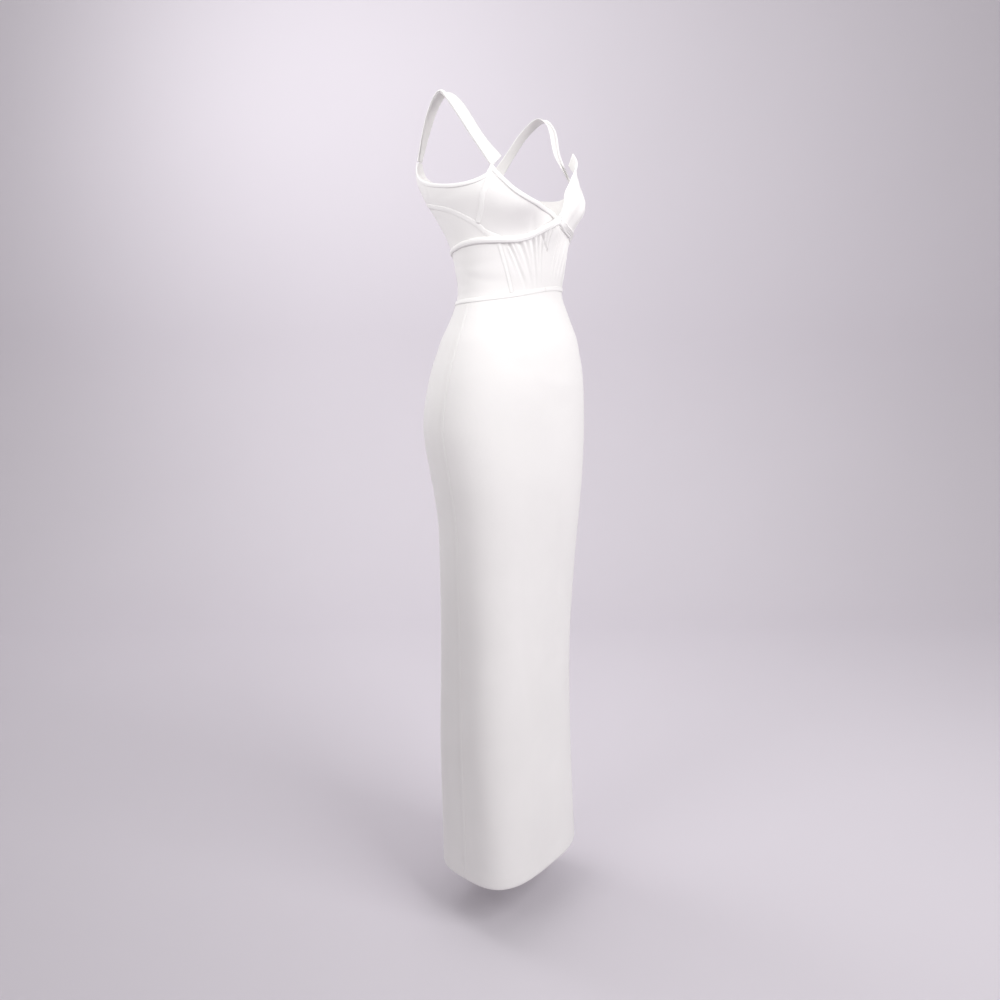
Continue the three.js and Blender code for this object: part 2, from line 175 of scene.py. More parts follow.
def panel(name, shape, columns, rows, relief=None):
    """A panel of knit on the form. Its edges roll in to the seams, and its relief moves both faces out."""
    cross = ((0, 0.5), (0.5, 0.5), (1, 0.5), (0.5, 0), (0.5, 1))
    at = [on_form(shape(np.array([s]), np.array([t])), 0.0)[0] for s, t in cross]
    wide = np.linalg.norm(at[1] - at[0]) + np.linalg.norm(at[2] - at[1])
    tall = np.linalg.norm(at[1] - at[3]) + np.linalg.norm(at[4] - at[1])
    s, t = np.meshgrid(crowded(wide, columns), crowded(tall, rows), indexing="ij")
    gap_s, gap_t = EDGE["gap"] / wide, EDGE["gap"] / tall
    place = shape(gap_s + s * (1 - 2 * gap_s), gap_t + t * (1 - 2 * gap_t))
    edge = np.minimum(np.minimum(s, 1 - s) * wide, np.minimum(t, 1 - t) * tall)
    lift = np.zeros_like(s) if relief is None else relief(s, t, place)
    sink = EDGE["sink"] * bell(edge, EDGE["wide"])
    outer, inner = on_form(place, lift + CLOTH - sink), on_form(place, lift)
    return wall(name, outer, inner, (s[:, 0] * wide, t[0] * tall))


def add_node(tree, kind, inputs=None, **settings):
    """One node with its settings, and its inputs set to values or linked to sockets."""
    node = tree.nodes.new(kind)
    for key, value in settings.items():
        setattr(node, key, value)
    for key, value in (inputs or {}).items():
        if isinstance(value, bpy.types.NodeSocket):
            tree.links.new(value, node.inputs[key])
        else:
            node.inputs[key].default_value = value
    return node


def linear(hex_colour):
    """A linear colour with alpha from an sRGB hex value."""
    parts = [int(hex_colour[i : i + 2], 16) / 255 for i in (1, 3, 5)]
    return [p / 12.92 if p <= 0.04045 else ((p + 0.055) / 1.055) ** 2.4 for p in parts] + [1]


def knit_material(name, light, deep, wale, course, depth, roughness, sheen):
    """A weft knit: rows of small V loops with painted shade in their hollows, a soft cloudiness in the dye,
    and a faint sheen of fine fibre.
    """
    made = bpy.data.materials.new(name)
    made.use_nodes = True
    tree = made.node_tree
    shader = tree.nodes["Principled BSDF"]
    spread = add_node(tree, "ShaderNodeUVMap", uv_map="cloth").outputs["UV"]
    axes = add_node(tree, "ShaderNodeSeparateXYZ", {"Vector": spread})

    def maths(operation, a, b=0.0):
        return add_node(tree, "ShaderNodeMath", {0: a, 1: b}, operation=operation).outputs[0]

    across = maths("FRACT", maths("DIVIDE", axes.outputs["X"], wale * MM))
    lean = maths("ABSOLUTE", maths("SUBTRACT", across, 0.5))
    loops = maths("ADD", maths("DIVIDE", axes.outputs["Y"], course * MM), maths("MULTIPLY", lean, 1.4))
    loop = maths("SINE", maths("MULTIPLY", loops, 2 * np.pi))
    groove = maths("COSINE", maths("MULTIPLY", lean, 4 * np.pi))
    height = maths("ADD", maths("MULTIPLY", loop, 0.3), maths("MULTIPLY", groove, -0.2))
    object_place = add_node(tree, "ShaderNodeTexCoord").outputs["Object"]
    cloud = add_node(tree, "ShaderNodeTexNoise", {"Vector": object_place, "Scale": 9.0, "Detail": 3.0})
    fibre = add_node(tree, "ShaderNodeTexNoise", {"Vector": object_place, "Scale": 1400.0, "Detail": 2.0})
    # Painted shade: the hollows between the loops are painted darker than their tops. This is added to the
    # soft cloudiness in the dye.
    dye_cloud_and_loop_shade = maths("ADD", maths("MULTIPLY", height, 0.22), maths("MULTIPLY", cloud.outputs["Fac"], 0.9))
    blend = add_node(tree, "ShaderNodeMix", {"Factor": maths("SUBTRACT", 1.0, dye_cloud_and_loop_shade)}, data_type="RGBA")
    blend.inputs["A"].default_value, blend.inputs["B"].default_value = linear(light), linear(deep)
    blend.clamp_factor = True
    tree.links.new(blend.outputs["Result"], shader.inputs["Base Color"])
    rough = maths("ADD", maths("MULTIPLY", fibre.outputs["Fac"], 0.12), roughness - 0.06)
    tree.links.new(rough, shader.inputs["Roughness"])
    fuzz = maths("ADD", height, maths("MULTIPLY", fibre.outputs["Fac"], 0.5))
    bump = add_node(tree, "ShaderNodeBump", {"Height": fuzz, "Strength": 0.35, "Distance": depth * MM})
    tree.links.new(bump.outputs["Normal"], shader.inputs["Normal"])
    shader.inputs["Sheen Weight"].default_value = sheen
    shader.inputs["Sheen Roughness"].default_value = 0.45
    shader.inputs["IOR"].default_value = 1.5
    shader.inputs["Specular IOR Level"].default_value = 0.3
    return made


# Heavy double knit of viscose and nylon: matt and even, close to pure white, with loops of about 0.8 mm.
# The loops are drawn three times as coarse, or none would show at this distance.
double_knit = knit_material("milano_double_knit", "#F7F5F4", "#EDEBEA", 2.4, 2.0, 0.35, 0.78, 0.18)


def wear(piece, material, nodes=()):
    """Gives a finished piece its cloth, and puts it on the gown in place of the solids that it stands for."""
    piece.data.materials.clear()
    piece.data.materials.append(material)
    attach(piece, "root")
    if nodes:
        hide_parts(*nodes)


def creases(place, rows):
    """Soft troughs (depth under 0) and ridges. Each runs between two places and fades at its ends."""
    moved = np.zeros(place.shape[:-1])
    angle, z = place[..., 0], place[..., 1]
    per_degree = 2.3
    fade = 0.3, 0.35
    for (a0, z0), (a1, z1), width, depth in rows:
        ax, az = (a1 - a0) * per_degree, z1 - z0
        length = np.hypot(ax, az)
        px, pz = (angle - a0) * per_degree, z - z0
        along = (px * ax + pz * az) / length
        beside = (px * az - pz * ax) / length
        bow = 0.06 * length * np.sin(np.pi * np.clip(along / length, 0, 1))
        for run in (along, length - along):
            depth = depth * smooth(run, -fade[0] * length, fade[1] * length)
        moved += depth * bell(beside - bow, width)
    return moved


# Each crease: where it starts and ends (angle, z), how wide it is, and how far it stands out or sinks in.
SKIRT_FRONT_CREASES = [
    ((-28, -452), (24, -470), 12, 0.8),
    ((-12, -506), (30, -498), 14, -0.7),
    ((-60, -420), (-30, -440), 11, -0.6),
    ((40, -430), (74, -410), 12, -0.7),
    ((-34, -620), (-30, -980), 20, -1.6),
    ((26, -700), (30, -1080), 24, -1.4),
    ((-2, -760), (4, -1180), 26, 1.3),
    ((-66, -900), (-62, -1260), 22, 1.0),
    ((62, -860), (58, -1240), 24, -1.0),
    ((-20, -1120), (-16, -1330), 14, 1.0),
    ((38, -1160), (42, -1330), 16, -0.9),
]


def hem_fold(place):
    """The turned hem is a little thicker, and dips where its hidden stitches hold it."""
    above_turn = place[..., 1] - HEM_Z - HEM_TURN
    return 0.5 * smooth(3 - above_turn, 0, 4) - 0.35 * bell(above_turn, 1.6)


def skirt_front_shape(s, t):
    angle = SIDE_SEAM * (2 * s - 1)
    return np.stack([angle, HEM_Z + (waist_z(angle) - HEM_Z) * t], -1)


def skirt_front_relief(s, t, place):
    return creases(place, SKIRT_FRONT_CREASES) + hem_fold(place)


skirt_front = panel("skirt_front_knit", skirt_front_shape, 96, 170, skirt_front_relief)
wear(skirt_front, double_knit, ["skirt_front"])


# Skirt back: two panels of the same knit, joined down the centre back and to the front at the sides.
# Each side seam is pressed open under a flat cover of knit, sewn down by a row of thread along each edge.
SKIRT_BACK_CREASES = [
    ((112, -420), (150, -402), 12, -0.9),
    ((104, -640), (168, -652), 16, -1.1),
    ((118, -600), (160, -612), 12, 0.8),
    ((128, -760), (134, -1120), 24, -1.5),
    ((160, -820), (156, -1230), 24, 1.3),
    ((104, -980), (108, -1300), 20, -1.0),
]
SEAM_COVER = {"width": 8, "height": 0.7}
STITCH = {"spacing": 3.4, "length": 2.5, "thickness": 0.34}
ROW_INSET = 0.17
HANDS = ((-1, "right"), (1, "left"))


def polyline(points):
    """The share of the run at each corner is even, as in the panels' own seams."""
    table = np.array(points, float)

    def at(t):
        share = np.linspace(0, 1, len(table))
        return np.stack([np.interp(t, share, table[:, k]) for k in (0, 1)], -1)

    return at


def beside_line(line, s, distance, out):
    """Points of the form beside a line on it, by a distance across the line, moved out."""
    step = 0.004
    u = np.clip(s, step, 1 - step)
    place = line(s)
    angle, z = place[..., 0], place[..., 1]
    per_angle = worn_form(angle + 0.5, z) - worn_form(angle - 0.5, z)
    per_z = worn_form(angle, z + 0.5) - worn_form(angle, z - 0.5)
    after, before = line(u + step), line(u - step)
    along = worn_form(after[..., 0], after[..., 1]) - worn_form(before[..., 0], before[..., 1])
    sideways = unit(np.cross(np.cross(per_angle, per_z), along)) * np.asarray(distance)[..., None]
    dot = lambda a, b: np.einsum("...i,...i->...", a, b)
    aa, zz, az = dot(per_angle, per_angle), dot(per_z, per_z), dot(per_angle, per_z)
    sa, sz = dot(sideways, per_angle), dot(sideways, per_z)
    whole = aa * zz - az * az
    moved = np.stack([angle + (sa * zz - sz * az) / whole, z + (sz * aa - sa * az) / whole], -1)
    return on_form(moved, out)


def run_length(line):
    places = line(np.linspace(0, 1, 200))
    points = worn_form(places[:, 0], places[:, 1])
    return np.linalg.norm(np.diff(points, axis=0), axis=1).sum()


def flat_profile(t, height):
    """A flat strip: its edges turn down, and it dips a little under each row of stitches."""
    dip = 0.22 * (bell(t - ROW_INSET, 0.05) + bell(1 - ROW_INSET - t, 0.05))
    return height * (0.3 + 0.7 * (1 - np.abs(2 * t - 1) ** 6)) - dip


def round_profile(t, height):
    return height * (0.3 + 0.7 * np.sqrt(np.clip(1 - (2 * t - 1) ** 2, 0, 1)))


def strip(
    name, line, width, height, base, profile=flat_profile, rise=0.0,
    across=14, pitch=3.0, relief=None, tilt=0.0,
):
    """A strip of knit along a line on the form. Its sizes are in mm, or worked out from the run."""
    length = run_length(line)
    run = np.linspace(0, 1, int(length / pitch) + 1)
    share = (1 - np.cos(np.pi * np.linspace(0, 1, across + 1))) / 2
    s, t = np.meshgrid(run, share, indexing="ij")
    value = lambda given: given(s) if callable(given) else np.full_like(s, given)
    side, lift = (t - 0.5) * value(width), base + value(rise) + (t - 0.5) * value(tilt)
    over = profile(t, value(height)) + (0 if relief is None else relief(s, t))
    outer, inner = beside_line(line, s, side, lift + over), beside_line(line, s, side, lift)
    return wall(name, outer, inner, (run * length, share * float(np.mean(value(width)))))


def stitch_tree():
    """Short rounds of thread, one after another along each edge of the mesh that the tree is put on."""
    tree = bpy.data.node_groups.new("stitch_rows", "GeometryNodeTree")
    tree.is_modifier = True
    sockets = tree.interface
    sockets.new_socket("Geometry", in_out="INPUT", socket_type="NodeSocketGeometry")
    for name in ("Spacing", "Length", "Thickness"):
        sockets.new_socket(name, in_out="INPUT", socket_type="NodeSocketFloat")
    sockets.new_socket("Thread", in_out="INPUT", socket_type="NodeSocketMaterial")
    sockets.new_socket("Geometry", in_out="OUTPUT", socket_type="NodeSocketGeometry")
    given = tree.nodes.new("NodeGroupInput").outputs
    rows = add_node(tree, "GeometryNodeMeshToCurve", {"Mesh": given["Geometry"]})
    spaced = {"Curve": rows.outputs[0], "Length": given["Spacing"]}
    even = add_node(tree, "GeometryNodeResampleCurve", spaced, mode="LENGTH")
    grain = add_node(tree, "GeometryNodeMeshUVSphere", {"Segments": 6, "Rings": 4, "Radius": 0.5})
    sizes = {0: given["Thickness"], 1: given["Thickness"], 2: given["Length"]}
    size = add_node(tree, "ShaderNodeCombineXYZ", sizes)
    long_grain = {"Geometry": grain.outputs["Mesh"], "Scale": size.outputs[0]}
    stitch = add_node(tree, "GeometryNodeTransform", long_grain)
    tangent = add_node(tree, "GeometryNodeInputTangent")
    turn = add_node(tree, "FunctionNodeAlignRotationToVector", {"Vector": tangent.outputs[0]}, axis="Z")
    placed = add_node(tree, "GeometryNodeInstanceOnPoints", {
        "Points": even.outputs[0], "Instance": stitch.outputs[0], "Rotation": turn.outputs[0],
    })
    real = add_node(tree, "GeometryNodeRealizeInstances", {"Geometry": placed.outputs[0]})
    rounded = add_node(tree, "GeometryNodeSetShadeSmooth", {"Geometry": real.outputs[0]})
    in_thread = {"Geometry": rounded.outputs[0], "Material": given["Thread"]}
    coloured = add_node(tree, "GeometryNodeSetMaterial", in_thread)
    add_node(tree, "NodeGroupOutput", {"Geometry": coloured.outputs[0]})
    return tree


def thread_material():
    """Spun polyester sewing thread: a touch glossier than the knit, so that the rows read as fine lines, with
    painted shade in dark bands between its twisted plies.
    """
    made = bpy.data.materials.new("spun_polyester_thread")
    made.use_nodes = True
    tree = made.node_tree
    shader = tree.nodes["Principled BSDF"]
    object_place = add_node(tree, "ShaderNodeTexCoord").outputs["Object"]
    twist = {"Vector": object_place, "Scale": 900.0}
    # Painted shade: diagonal bands of darker colour stand for the shade between the twisted plies.
    ply_painted_shade = add_node(tree, "ShaderNodeTexWave", twist, bands_direction="DIAGONAL")
    blend = add_node(tree, "ShaderNodeMix", {"Factor": ply_painted_shade.outputs["Fac"]}, data_type="RGBA")
    blend.inputs["A"].default_value, blend.inputs["B"].default_value = linear("#E4E1DF"), linear("#FBFAF9")
    tree.links.new(blend.outputs["Result"], shader.inputs["Base Color"])
    shader.inputs["Roughness"].default_value = 0.5
    return made


thread = thread_material()
stitches = stitch_tree()


def sew(name, rows):
    """Rows of stitches through lists of points, made one plain mesh."""
    points = np.concatenate(rows) * MM
    starts = np.cumsum([0] + [len(row) for row in rows])
    edges = [(k, k + 1) for a, b in zip(starts[:-1], starts[1:]) for k in range(a, b - 1)]
    mesh = bpy.data.meshes.new(name + "_route")
    mesh.from_pydata(points.tolist(), edges, [])
    route_piece = bpy.data.objects.new(name + "_route", mesh)
    bpy.context.collection.objects.link(route_piece)
    modifier = route_piece.modifiers.new("stitches", "NODES")
    modifier.node_group = stitches
    given = {key.capitalize(): size * MM for key, size in STITCH.items()} | {"Thread": thread}
    for item in stitches.interface.items_tree:
        if item.in_out == "INPUT" and item.name in given:
            modifier[item.identifier] = given[item.name]
    bpy.context.view_layer.update()
    evaluated = route_piece.evaluated_get(bpy.context.evaluated_depsgraph_get())
    sewn = bpy.data.objects.new(name, bpy.data.meshes.new_from_object(evaluated))
    bpy.context.collection.objects.link(sewn)
    bpy.data.objects.remove(route_piece)
    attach(sewn, "root")


def edge_rows(line, width, out, margin=0.004):
    """The two rows of stitches that hold a strip down, near its edges."""
    s = np.linspace(margin, 1 - margin, int(run_length(line) / 4) + 2)
    from_middle = [(inset - 0.5) * width for inset in (ROW_INSET, 1 - ROW_INSET)]
    return [beside_line(line, s, np.full_like(s, away), np.full_like(s, out)) for away in from_middle]


for side, hand in HANDS:
    def skirt_back_shape(s, t, side=side):
        angle = side * (SIDE_SEAM + (180 - SIDE_SEAM) * s)
        return np.stack([angle, HEM_Z + (waist_z(angle) - HEM_Z) * t], -1)

    def skirt_back_relief(s, t, place, side=side):
        return creases(place * (side, 1), SKIRT_BACK_CREASES) + hem_fold(place)

    skirt_back = panel(f"skirt_back_{hand}_knit", skirt_back_shape, 50, 150, skirt_back_relief)
    wear(skirt_back, double_knit, [f"skirt_back_{hand}"])
    seam = side * SIDE_SEAM
    side_line = polyline([(seam, HEM_Z + 1), (seam, float(waist_z(seam)) - 4)])
    cover_base = CLOTH - 0.3
    cover = strip(
        f"side_seam_cover_{hand}", side_line, SEAM_COVER["width"], SEAM_COVER["height"], cover_base
    )
    wear(cover, double_knit)
    sew(f"side_seam_stitches_{hand}", edge_rows(side_line, SEAM_COVER["width"], CLOTH + 0.35))


# Midriff front: one panel, gathered at its top edge into the rolls and eased flat into the waist seam.
# Each gather is a soft fold of its own length and depth. A small open notch lies under the crossing.
# Each gather: its share across the top and across the foot, the heights where it is full and where it fades
# out, as shares of the panel, and how wide and how deep it is.
GATHERS = [
    (0.030, 0.10, 0.97, 0.24, 0.011, 1.8),
    (0.062, 0.175, 0.97, -0.02, 0.014, 3.4),
    (0.10, 0.205, 0.97, 0.30, 0.012, 1.8),
    (0.145, 0.26, 0.97, 0.05, 0.015, 3.0),
    (0.19, 0.285, 0.97, 0.26, 0.012, 1.9),
    (0.24, 0.335, 0.97, 0.00, 0.015, 2.8),
    (0.29, 0.37, 0.97, 0.22, 0.012, 1.9),
    (0.34, 0.41, 0.97, 0.06, 0.014, 2.5),
    (0.385, 0.44, 0.97, 0.32, 0.011, 1.6),
    (0.575, 0.545, 0.97, 0.26, 0.011, 1.6),
    (0.61, 0.575, 0.97, 0.08, 0.013, 2.4),
    (0.66, 0.61, 0.97, 0.30, 0.012, 1.9),
    (0.71, 0.65, 0.97, 0.04, 0.014, 2.6),
    (0.76, 0.69, 0.97, 0.26, 0.012, 1.8),
    (0.81, 0.735, 0.97, 0.02, 0.015, 2.7),
    (0.86, 0.775, 0.97, 0.24, 0.012, 1.9),
    (0.905, 0.82, 0.97, 0.06, 0.014, 2.5),
    (0.955, 0.89, 0.97, 0.30, 0.011, 1.6),
]
NOTCH = {"from": (-18, -222), "foot": (-5, -249), "to": (-6, -213), "width": 1.4, "depth": -2.0}
NOTCH |= {"pit": 5.0, "pit_width": 1.7}
MIDRIFF_TOP = [(-61, -236), (-47, -235.5), (-28, -228), (-14, -217), (0, -209)]
RIB_FOOT, RIB_TOP = 50, (61, -236)
PULL = {"rise": 16, "from": 0, "full": 44, "until": 50, "to": 78}


def patch(bottom, top, left, right):
    """A patch between four edges. Bottom and top run with s, left and right run upwards with t."""

    def shape(s, t):
        column, row = s[..., None], t[..., None]
        rows = bottom(s) * (1 - row) + top(s) * row
        columns = left(t) * (1 - column) + right(t) * column
        ends = np.zeros_like(s), np.ones_like(s)
        low = bottom(ends[0]) * (1 - column) + bottom(ends[1]) * column
        high = top(ends[0]) * (1 - column) + top(ends[1]) * column
        return rows + columns - low * (1 - row) - high * row

    return shape


def gather_relief(s, t, place):
    moved = np.zeros_like(s)
    for share, low_share, top, bottom, width, depth in GATHERS:
        centre = low_share + (share - low_share) * t
        fade = smooth(t, bottom, bottom + 0.45) * (0.55 + 0.45 * smooth(t, 0.5, top))
        moved -= depth * bell(s - centre, width * (1.35 - 0.35 * t)) * fade
        moved += 0.35 * depth * bell(s - centre - 2.1 * width, width * 1.3) * fade
    legs = [(NOTCH["from"], NOTCH["foot"]), (NOTCH["to"], NOTCH["foot"])]
    (foot_angle, foot_z), per_degree = NOTCH["foot"], 2.2
    from_foot = np.hypot(per_degree * (place[..., 0] - foot_angle), place[..., 1] - foot_z)
    moved -= NOTCH["pit"] * bell(from_foot, NOTCH["pit_width"])
    return moved + creases(place, [(*leg, NOTCH["width"], NOTCH["depth"]) for leg in legs])


def waist_place(angle):
    return (angle, float(waist_z(angle)))


def pulled(points):
    """The left cup is pulled up, so its lower edge and what is sewn to it lie higher than on the right."""
    share = lambda a: smooth(a, PULL["from"], PULL["full"]) * (1 - smooth(a, PULL["until"], PULL["to"]))
    return [(angle, z + PULL["rise"] * float(share(angle))) for angle, z in points]


bottom_line = polyline([waist_place(share * RIB_FOOT) for share in (-1, -0.667, -0.333, 0, 0.333, 0.667, 1)])
top_line = polyline(MIDRIFF_TOP + pulled([(-angle, z) for angle, z in MIDRIFF_TOP[-2::-1]]))
midriff_shape = patch(
    bottom_line,
    top_line,
    polyline([waist_place(-RIB_FOOT), (-RIB_TOP[0], RIB_TOP[1])]),
    polyline([waist_place(RIB_FOOT), *pulled([RIB_TOP])]),
)
midriff_front = panel("midriff_front_gathers", midriff_shape, 210, 46, gather_relief)
wear(midriff_front, double_knit, ["midriff_front"])


# Midriff sides and backs: plain close panels that hold the gown to the waist, joined at rib and back seams.
# The knit pulls into a few faint creases where the waist bends.
MIDRIFF_CREASES = [
    ((60, -298), (96, -286), 7, -0.7),
    ((66, -266), (110, -274), 8, -0.6),
    ((84, -312), (124, -306), 6, 0.5),
]
BACK_CREASES = [
    ((138, -300), (172, -292), 8, -0.9),
    ((140, -262), (176, -268), 9, -0.8),
    ((136, -208), (150, -240), 9, 0.6),
]
UNDER_BUST = [(77, -236.5), (100, -245.5), (BACK_SEAM, -256)]


def route(points):
    """A smooth line through points (angle, z), run at an even speed. Two millimetres stand for one degree."""
    p = np.array(points, float) * (2, 1)
    p = np.vstack([2 * p[0] - p[1], p, 2 * p[-1] - p[-2]])
    pieces = []
    for k in range(1, len(p) - 2):
        a, b, c, d = p[k - 1 : k + 3]
        ab, bc, cd = (np.linalg.norm(v) ** 0.5 for v in (b - a, c - b, d - c))
        start = ((b - a) / ab - (c - a) / (ab + bc) + (c - b) / bc) * bc
        end = ((c - b) / bc - (d - b) / (bc + cd) + (d - c) / cd) * bc
        u = np.linspace(0, 1, 40, endpoint=k == len(p) - 3)[:, None]
        cubic = (2 * b - 2 * c + start + end) * u**3 + (3 * c - 3 * b - 2 * start - end) * u**2
        pieces.append(cubic + start * u + b)
    path = np.concatenate(pieces)
    run = np.concatenate([[0], np.cumsum(np.linalg.norm(np.diff(path, axis=0), axis=1))])

    def at(t):
        where = np.clip(t, 0, 1) * run[-1]
        return np.stack([np.interp(where, run, path[:, 0]) / 2, np.interp(where, run, path[:, 1])], -1)

    return at


def flipped(points, side):
    return [(angle * side, z) for angle, z in points]


BACK_NECK = [(BACK_SEAM, -98), (150, -117), (180, -127)]
for side, hand in HANDS:
    sides = lambda points: polyline(flipped(points, side))
    waist = lambda angle: (angle, waist_place(side * angle)[1])
    low = pulled if side > 0 else list
    midriff_side_shape = patch(
        sides([waist(angle) for angle in (RIB_FOOT, 77, 105, BACK_SEAM)]),
        sides(low([RIB_TOP, *UNDER_BUST])),
        sides([waist(RIB_FOOT), *low([RIB_TOP])]),
        sides([waist(BACK_SEAM), (BACK_SEAM, -256)]),
    )
    midriff_side = panel(
        f"midriff_side_{hand}_knit", midriff_side_shape, 60, 34,
        lambda s, t, place, side=side: creases(place * (side, 1), MIDRIFF_CREASES),
    )
    wear(midriff_side, double_knit, [f"midriff_side_{hand}"])
    back_shape = patch(
        sides([waist(angle) for angle in (BACK_SEAM, 156, 180)]),
        route(flipped(BACK_NECK, side)),
        sides([waist(BACK_SEAM), (BACK_SEAM, -98)]),
        sides([waist(180), (180, -127)]),
    )
    back = panel(
        f"back_{hand}_knit", back_shape, 46, 70,
        lambda s, t, place, side=side: creases(place * (side, 1), BACK_CREASES),
    )
    wear(back, double_knit, [f"back_{hand}"])


# Cups: a front cup, a side cup under the arm and a wedge below it, cut so that the seams shape them.
# The right cup lies smooth. The left one is draped, with soft folds that fall from its strap.
CROSSING, CUP_FOOT, CUP_CORNER, STRAP_JOIN = (4, -198), (4, -206), (74, -213), (54, -124)
CUP_SEAM = [CUP_CORNER, (67, -166), STRAP_JOIN]
UNDER_CUP = [CUP_FOOT, (14, -213), (28, -224.5), (45, -232.5), (61, -233), (70, -225)]
NECKLINE = {
    "right": [CROSSING, (12, -189), (31, -181), (42, -174), (49, -162), (52, -145), STRAP_JOIN],
    "left": [CROSSING, (10, -187), (14, -168), (17, -154), (28, -137), (42, -124), STRAP_JOIN],
}
ARMHOLE = [
    STRAP_JOIN, (58, -132), (68, -143), (78, -148), (88, -146), (102, -139), (113, -124), (120, -100),
    (BACK_SEAM, -98),
]
SLANT = [CUP_CORNER, (88, -191), (104, -180), (BACK_SEAM, -170)]
WEDGE_FOOT, WEDGE_TIP = (62.8, -235.5), (62.8, -231.4)
FLAP = {"lift": 20, "from": -160, "to": -108, "tilt": 14}
RIGHT_CUP_CREASES = [((26, -228), (33, -196), 7, -0.9), ((44, -150), (36, -178), 8, 0.6)]
LEFT_CUP_CREASES = [
    ((50, -132), (34, -226), 5, 1.1),
    ((44, -136), (26, -220), 5, -1.3),
    ((38, -138), (19, -212), 5, 1.1),
    ((32, -142), (13, -204), 5, -1.1),
    ((26, -150), (9, -200), 4, 0.8),
    ((60, -150), (48, -230), 6, -1.0),
]
SIDE_CUP_CREASES = [((72, -152), (96, -166), 7, -0.6), ((104, -150), (124, -176), 8, 0.5)]


def fallen(place):
    """How far the left cup's inner edge has fallen away from the body, more and more towards the strap."""
    return FLAP["lift"] * smooth(place[..., 1], FLAP["from"], FLAP["to"]) * smooth(place[..., 0], 2, 14)


def draped(place):
    """The same for the cup itself, which is held down along its side seam."""
    (low, low_z), (high, high_z) = CUP_CORNER, STRAP_JOIN
    seam_angle = low + (high - low) * (place[..., 1] - low_z) / (high_z - low_z)
    return fallen(place) * smooth(seam_angle - place[..., 0], 0, 16)


for side, hand in HANDS:
    sides = lambda points: polyline(flipped(points, side))
    folds, low = (RIGHT_CUP_CREASES, list) if side < 0 else (LEFT_CUP_CREASES, pulled)
    cup_shape = patch(
        sides([*low(UNDER_CUP), CUP_CORNER]), route(flipped(NECKLINE[hand], side)),
        sides([CUP_FOOT, CROSSING]), sides(CUP_SEAM),
    )
    cup = panel(
        f"cup_{hand}_knit", cup_shape, 72, 56,
        lambda s, t, place, side=side, folds=folds: creases(place * (side, 1), folds) + draped(place),
    )
    wear(cup, double_knit, [f"cup_{hand}"])
    side_cup_shape = patch(
        sides(SLANT), route(flipped(ARMHOLE, side)),
        sides(CUP_SEAM), sides([(BACK_SEAM, -170), (BACK_SEAM, -98)]),
    )
    side_cup = panel(
        f"side_cup_{hand}_knit", side_cup_shape, 70, 36,
        lambda s, t, place, side=side: creases(place * (side, 1), SIDE_CUP_CREASES),
    )
    wear(side_cup, double_knit, [f"side_cup_{hand}"])
    wedge_shape = patch(
        sides(low([WEDGE_FOOT, *UNDER_BUST])), sides([*low([WEDGE_TIP, UNDER_CUP[-1]]), *SLANT]),
        sides(low([WEDGE_FOOT, WEDGE_TIP])), sides([(BACK_SEAM, -256), (BACK_SEAM, -170)]),
    )
    wedge = panel(f"wedge_{hand}_knit", wedge_shape, 66, 24)
    wear(wedge, double_knit, [f"wedge_{hand}"])


# Tapes: flat strips of the knit, laid over the seams and held by a row of thread along each edge.
# They bind the cup seam, the slanting seam under the arm, the rib seam and the waist.
TAPE = {"width": 8, "rib_width": 6, "height": 1.1, "base": 1.5}
WAIST_TAPE = {"width": 7.5, "height": 1.2, "base": 1.9}
SUNK_THREAD = 0.15
folded_knit = knit_material("folded_knit_binding", "#FBFAF9", "#F2F0EF", 2.0, 1.8, 0.3, 0.72, 0.22)
for side, hand in HANDS:
    low = pulled if side > 0 else list
    runs = {
        "cup_tape": [(56, -130), (61.8, -150), (66.5, -166), (74, -210)],
        "slant_tape": [
            *low([(60, -232.5), (70, -223)]), (74.5, -212), (88, -190), (104, -179.5),
            (BACK_SEAM - 1.5, -170),
        ],
        "rib_tape": [
            *low([(61, -238), (60.5, -243), (57, -272)]),
            (RIB_FOOT + 1, waist_place(side * RIB_FOOT)[1] + 3),
        ],
    }
    for name, points in runs.items():
        line = route(flipped(points, side))
        width = TAPE["rib_width"] if name == "rib_tape" else TAPE["width"]
        tape = strip(f"{name}_{hand}_knit", line, width, TAPE["height"], TAPE["base"])
        wear(tape, folded_knit, [f"{name}_{hand}"])
        thread_out = TAPE["base"] + TAPE["height"] - SUNK_THREAD
        sew(f"{name}_stitches_{hand}", edge_rows(line, width, thread_out, margin=0.02))
    waist_line = route([waist_place(side * a) for a in np.linspace(0, 180, 13)])
    waist_tape = strip(
        f"waist_tape_{hand}_knit", waist_line, WAIST_TAPE["width"], WAIST_TAPE["height"], WAIST_TAPE["base"]
    )
    wear(waist_tape, folded_knit, [f"waist_tape_{hand}"])
    thread_out = WAIST_TAPE["base"] + WAIST_TAPE["height"] - SUNK_THREAD
    sew(f"waist_stitches_{hand}", edge_rows(waist_line, WAIST_TAPE["width"], thread_out))


# Rolls: doubled knit, filled out to a soft round, from under each arm along the cup and over the front.
# The right one passes over, and its upper end opens into a fold that stands away from the left strap.
ROLL = {"width": 10.5, "thin": 6.5, "slim": 7, "height": 5, "base": 1.4, "lift": 6, "spread": 11}
FOLD = {"width": 13, "from": -146, "to": -112}
UNDER_ROLL = [
    (-BACK_SEAM + 1, -256), (-106, -248), (-89, -240.5), (-77, -236.5), (-60, -235), (-45, -233.5),
    (-33, -228), (-22, -219), (-8, -206.5), (0, -200.5),
]
LEFT_RIM = [(9.5, -189), (14.5, -171), (17.5, -156), (28, -138), (42, -122), (48, -108), (51, -96)]
RIGHT_RIM = [(10, -190), (31, -180), (42, -173), (49, -161), (52, -145), (53.6, -130), (54, -122.5)]


